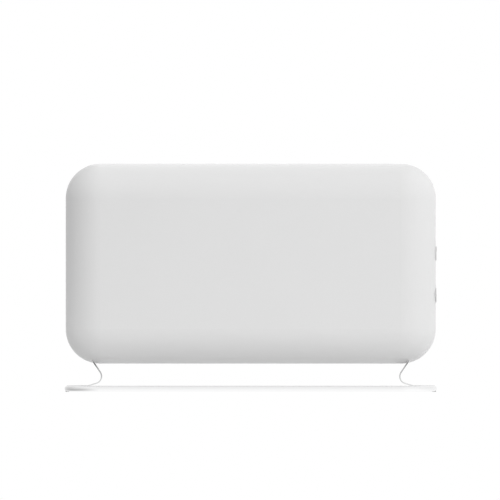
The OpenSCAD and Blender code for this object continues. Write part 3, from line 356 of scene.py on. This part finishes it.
finishes = {
    "housing_white": mouldedPlastic("mouldedWhite", mouldedWhite),
    "knob_grey": mouldedPlastic("mouldedGrey", mouldedGrey),
    "chrome": polishedChrome("polishedChrome", chromeLook),
    "zinc_steel": zincSteel("zincSteel", zincLook),
    "aluminium": bareAluminium("rolledAluminium", sheetLook),
    "steel_rod": heatTintedRod("heatTintedRod", rodLook),
    "ceramic": speckledCeramic("speckledCeramic", ceramicLook),
    "dark_plastic": glassFilledPlastic("glassFilledPlastic", darkLook),
    "brown_lead": leadInsulation("brownLead", brownLead),
    "black_lead": leadInsulation("blackLead", blackLead),
    "blue_lead": leadInsulation("blueLead", blueLead),
    "rubber": padRubber("padRubber", rubberLook),
}
# pieces whose finish differs from the rest of their slot; the two strips carry painted shade, the left one painted
# darker than the right
ownFinishes = {"finned_element": bareAluminium("extrudedAluminium", finLook),
               "left_leg": polishedChrome("leftStrip", leftLegPaintedShadeLook),
               "right_leg": polishedChrome("rightStrip", rightLegPaintedShadeLook)}

for part in frame["record"]["subparts"]:
    node = frame["nodes"][part["node"]]
    node.data.materials.clear()
    node.data.materials.append(ownFinishes.get(part["node"], finishes[part["material_slot"]]))
print("finishes made:", len(finishes) + len(ownFinishes))


# turns arrays of points and faces into a piece of the heater
def makePiece(name, points, faces, material, smooth):
    mesh = bpy.data.meshes.new(name)
    mesh.from_pydata(points.tolist(), [], faces)
    mesh.materials.append(material)
    mesh.polygons.foreach_set("use_smooth", [smooth] * len(mesh.polygons))
    mesh.update()
    piece = bpy.data.objects.new(name, mesh)
    bpy.context.scene.collection.objects.link(piece)
    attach(piece, "heater")
    return piece


# several shapes in one: each later shape's faces count on from the points before it
def joined(shapes):
    starts = np.cumsum([0] + [len(points) for points, faces in shapes[:-1]])
    faces = [[int(start) + corner for corner in face]
             for start, (points, shapeFaces) in zip(starts, shapes) for face in shapeFaces]
    return np.vstack([points for points, shapeFaces in shapes]), faces


# weld beads under the strips, in the wedge between strip and bar: inward and up are from the bar's axis
weldLook = {"inward": 0.00381, "up": 0.00255, "radius": 0.0011, "length": 0.011, "ripples": 9,
            "rippleHeight": 0.07, "rippleLean": 0.00012, "bluntness": 6,
            "middles": (-0.011, 0.011), "rings": 73, "sides": 16}
barLow, barHigh = corners("base_ring")
barX = barHigh[0] - (barHigh[2] - barLow[2]) / 2
barZ = (barHigh[2] + barLow[2]) / 2


# bead: circles stand along Y, with t from -1 to 1 over its length; their radius is
# R * (1 - t^bluntness)^(1/2) * (1 + height * cos(ripples * pi * t)), each one leans by
# lean * sin(ripples * pi * t), and a pole closes each end
def weldBead(look, x, middle, z):
    along = np.linspace(-1.0, 1.0, look["rings"])[1:-1]
    wave = along * np.pi * look["ripples"]
    swell = np.sqrt(1.0 - along ** look["bluntness"]) * (1.0 + look["rippleHeight"] * np.cos(wave))
    turn = np.linspace(0.0, 2.0 * np.pi, look["sides"], endpoint=False)
    ring = look["radius"] * swell[:, None]
    lean = look["rippleLean"] * np.sin(wave)[:, None]
    half = look["length"] / 2
    grid = np.stack([x + ring * np.cos(turn), middle + along[:, None] * half + lean * np.cos(turn),
                     z + ring * np.sin(turn)], axis=-1).reshape(-1, 3)
    poles = [[x, middle - half, z], [x, middle + half, z]]
    rows, sides = len(along), look["sides"]
    here = np.arange(rows - 1)[:, None] * sides + np.arange(sides)
    onward = np.arange(rows - 1)[:, None] * sides + (np.arange(sides) + 1) % sides
    quads = np.stack([here, onward, onward + sides, here + sides], axis=-1).reshape(-1, 4).tolist()
    first, last = rows * sides, rows * sides + 1
    rim = (rows - 1) * sides
    caps = [[first, (k + 1) % sides, k] for k in range(sides)]
    caps += [[last, rim + k, rim + (k + 1) % sides] for k in range(sides)]
    return np.vstack([grid, poles]), quads + caps


beads = joined([weldBead(weldLook, side * (barX - weldLook["inward"]), middle, barZ + weldLook["up"])
                for side in (-1, 1) for middle in weldLook["middles"]])
makePiece("weld_beads", *beads, finishes["chrome"], True)
print("weld beads laid")


# printed scales round the two knobs, each about its knob's joint, on the body's half-round end; the
# rear shell's depth from the middle is the radius of that end
knobHeights = {joint["name"]: joint["pos_m"][2] for joint in frame["joints"]}
endX, edgeRadius, _ = corners("rear_shell")[1]
scaleLook = {"proud": 0.00008, "sunk": 0.00005,
             "tickInner": 0.0136, "tickOuter": 0.0154, "tickWidth": 0.0006,
             "numeralRadius": 0.0174, "numeralHeight": 0.0027, "capitalHeight": 0.73,
             "selectorStops": ((0, "0"), (45, "1"), (90, "2"), (135, "3")),
             "thermostatSweep": (-135, 135), "thermostatNumerals": "123456",
             "wedge": (0.0136, 0.00015, 0.0011), "wedgeSteps": 91}


# a flat shape drawn across and up, wrapped on the round end: angle = across / radius
def wrapped(flat, height, up):
    angle = flat[:, 0] / edgeRadius
    reach = edgeRadius + height
    return np.stack([endX - edgeRadius + reach * np.cos(angle), reach * np.sin(angle), up + flat[:, 1]],
                    axis=-1)


# gives a flat shape a thin body: top and bottom skins, and a wall along each edge that has one face
def printed(look, flat, faces, up):
    count = len(flat)
    points = np.vstack([wrapped(flat, look["proud"], up), wrapped(flat, -look["sunk"], up)])
    edges = {}
    for face in faces:
        for a, b in zip(face, face[1:] + face[:1]):
            edges[(a, b)] = True
    walls = [[a, a + count, b + count, b] for a, b in edges if (b, a) not in edges]
    under = [[corner + count for corner in reversed(face)] for face in faces]
    return points, faces + under + walls


# band from one inner radius over a range of clock angles, with its outer radius growing evenly
def band(inner, outerStart, outerEnd, fromDeg, toDeg, steps):
    clock = np.radians(np.linspace(fromDeg, toDeg, steps))
    outer = np.linspace(outerStart, outerEnd, steps)
    flat = np.vstack([np.stack([inner * np.sin(clock), inner * np.cos(clock)], axis=-1),
                      np.stack([outer * np.sin(clock), outer * np.cos(clock)], axis=-1)])
    return flat, [[k, k + steps, k + steps + 1, k + 1][::-1] for k in range(steps - 1)]


# tick: a small straight bar from the inner to the outer radius at a clock angle
def tick(look, clockDeg):
    clock = np.radians(clockDeg)
    out = np.array([np.sin(clock), np.cos(clock)])
    side = np.array([np.cos(clock), -np.sin(clock)]) * look["tickWidth"] / 2
    near, far = out * look["tickInner"], out * look["tickOuter"]
    return np.array([near - side, near + side, far + side, far - side]), [[0, 1, 2, 3]]


# numeral: Blender's own font made a mesh, centred at a clock angle; its size = height of a numeral
# over capitalHeight, the share of the size that a numeral is high
def numeral(look, clockDeg, text):
    drawing = bpy.data.curves.new("numeral", "FONT")
    drawing.body = text
    drawing.size = look["numeralHeight"] / look["capitalHeight"]
    helper = bpy.data.objects.new("numeral", drawing)
    bpy.context.scene.collection.objects.link(helper)
    bpy.context.view_layer.update()
    mesh = bpy.data.meshes.new_from_object(helper.evaluated_get(bpy.context.evaluated_depsgraph_get()))
    raw = np.empty(len(mesh.vertices) * 3)
    mesh.vertices.foreach_get("co", raw)
    flat = raw.reshape(-1, 3)[:, :2]
    faces = [list(polygon.vertices) for polygon in mesh.polygons]
    bpy.data.objects.remove(helper)
    bpy.data.meshes.remove(mesh)
    bpy.data.curves.remove(drawing)
    clock = np.radians(clockDeg)
    middle = (flat.min(axis=0) + flat.max(axis=0)) / 2
    place = look["numeralRadius"] * np.array([np.sin(clock), np.cos(clock)])
    return flat - middle + place, faces


# selector: a tick and a numeral at each stop
def selectorScale(look):
    flats = []
    for clockDeg, text in look["selectorStops"]:
        flats.append(tick(look, clockDeg))
        flats.append(numeral(look, clockDeg, text))
    return joined([printed(look, *flat, knobHeights["selector_turn"]) for flat in flats])


# thermostat: one widening band, and its numerals evenly spaced over the same sweep
def thermostatScale(look):
    low, high = look["thermostatSweep"]
    inner, thin, thick = look["wedge"]
    flats = [band(inner, inner + thin, inner + thick, low, high, look["wedgeSteps"])]
    text = look["thermostatNumerals"]
    for place, digit in zip(np.linspace(low, high, len(text)), text):
        flats.append(numeral(look, place, digit))
    return joined([printed(look, *flat, knobHeights["thermostat_turn"]) for flat in flats])


ink = printInk("printInk", inkLook)
makePiece("selector_scale", *selectorScale(scaleLook), ink, False)
makePiece("thermostat_scale", *thermostatScale(scaleLook), ink, False)
print("control scales printed")


# camera: square on to the front, without perspective, as the photograph
cameraLook = {"span": 0.8108, "aimX": -0.0012, "aimZ": 0.2298, "away": 3.0}


def makeCamera(look):
    lens = bpy.data.cameras.new("frontCamera")
    lens.type = "ORTHO"
    lens.ortho_scale = look["span"]
    lens.clip_end = 30.0
    camera = bpy.data.objects.new("frontCamera", lens)
    camera.location = (look["aimX"], -look["away"], look["aimZ"])
    camera.rotation_euler = (np.pi / 2, 0.0, 0.0)
    bpy.context.scene.collection.objects.link(camera)
    bpy.context.scene.camera = camera


# studio: a pale floor, and an all-round light with a slope and a curve for each side; soft is what
# lights the surfaces, and shine is what they mirror
studioLook = {"soft": {"plain": 0.796, "left": (-0.159, -0.07), "right": (0.289, 0.262),
                       "up": (-0.021, -0.019), "front": (0.203, 0.312), "back": (-0.02, 0.0),
                       "down": (0.0, 0.0)},
              "shine": {"plain": 0.97, "left": (0.0, -0.27), "right": (0.20, -0.24), "up": (-0.085, 0.0),
                        "front": (-0.035, 0.0), "back": (-0.08, 0.0), "down": (0.065, 0.0)},
              "leftWith": {"down": -0.60, "up": 0.18, "back": -0.28}, "rim": 1.3, "rimNarrow": 7.0,
              "groundSeen": 0.904, "groundFrom": 30.0, "floorSize": 12.0, "floorDrop": 0.0004,
              "floorSeen": 1.0, "floorLit": 0.83, "floorFar": 0.2, "fadeFrom": -0.3, "fadeTo": -0.8}


# light from a direction = plain + slope * part + curve * part * part, summed over the sides, where a
# side's part is how far the direction points to it, from 0 to 1. What is mirrored adds left * other
# side * share, and a rim of up * back near the middle. The camera sees white, and below the horizon
# the floor's own shade, so that the floor's edge doesn't show.
def makeWorld(look):
    world = bpy.data.worlds.new("studio")
    bpy.context.scene.world = world
    world.use_nodes = True
    tree = world.node_tree
    start = Wire(tree)
    heading = start.node("ShaderNodeTexCoord", output="Generated")
    x, y, z = (start.node("ShaderNodeSeparateXYZ", None, {0: heading}, axis) for axis in range(3))
    toward = {"left": 0.0 - x, "right": x, "front": 0.0 - y, "back": y, "down": 0.0 - z, "up": z}
    seen = start.node("ShaderNodeLightPath", output="Is Camera Ray")
    glossy = start.node("ShaderNodeLightPath", output="Is Glossy Ray")
    soft, shine = look["soft"]["plain"], look["shine"]["plain"]
    for side, direction in toward.items():
        part = direction.maths("MAXIMUM")
        (softSlope, softCurve), (shineSlope, shineCurve) = look["soft"][side], look["shine"][side]
        soft = soft + part * (part * softCurve + softSlope)
        shine = shine + part * (part * shineCurve + shineSlope)
    left = toward["left"].maths("MAXIMUM")
    for side, share in look["leftWith"].items():
        shine = shine + left * toward[side].maths("MAXIMUM") * share
    narrow = (1.0 - x.maths("ABSOLUTE") * look["rimNarrow"]).maths("MAXIMUM")
    rim = z.maths("MAXIMUM") * y.maths("MAXIMUM") * narrow * look["rim"]
    ground = (toward["down"] * look["groundFrom"]).maths("MAXIMUM").maths("MINIMUM", 1.0)
    backdrop = 1.0 - ground * (1.0 - look["groundSeen"])
    light = seen * backdrop + (1.0 - seen) * (glossy * (shine + rim) + (1.0 - glossy) * soft)
    tree.links.new(light.socket, tree.nodes["Background"].inputs["Strength"])
    tree.nodes["Background"].inputs["Color"].default_value = (1.0, 1.0, 1.0, 1.0)


# floor: white to the camera, in mirrors and through glass, and as bounce light it fades away on the
# left; it is hidden from mirrors here, because in the photograph the bar mirrors no floor
def makeFloor(look):
    half, z = look["floorSize"] / 2, -look["floorDrop"]
    mesh = bpy.data.meshes.new("floor")
    mesh.from_pydata([(-half, -half, z), (half, -half, z), (half, half, z), (-half, half, z)], [],
                     [(0, 1, 2, 3)])
    material, feed, place = startMaterial("paleFloor", {"Roughness": 0.9, "Specular IOR Level": 0.0})
    seen = place.node("ShaderNodeLightPath", output="Is Camera Ray")
    glossy = place.node("ShaderNodeLightPath", output="Is Glossy Ray")
    clear = place.node("ShaderNodeLightPath", output="Is Transmission Ray")
    shown = seen.maths("MAXIMUM", glossy).maths("MAXIMUM", clear)
    across = place.node("ShaderNodeSeparateXYZ", None, {0: place})
    bounce = place.node("ShaderNodeMapRange", None,
                        {"Value": across, "From Min": look["fadeTo"], "From Max": look["fadeFrom"],
                         "To Min": look["floorFar"], "To Max": look["floorLit"]})
    feed(Base_Color=place.node("ShaderNodeMix", {"data_type": "RGBA"},
                               {0: shown, 6: bounce, 7: (*(look["floorSeen"],) * 3, 1.0)}, 2))
    mesh.materials.append(material)
    floor = bpy.data.objects.new("floor", mesh)
    bpy.context.scene.collection.objects.link(floor)
    floor.visible_glossy = False


makeCamera(cameraLook)
makeWorld(studioLook)
makeFloor(studioLook)
bpy.context.scene.view_settings.view_transform = "Standard"
print("camera, floor and light set")
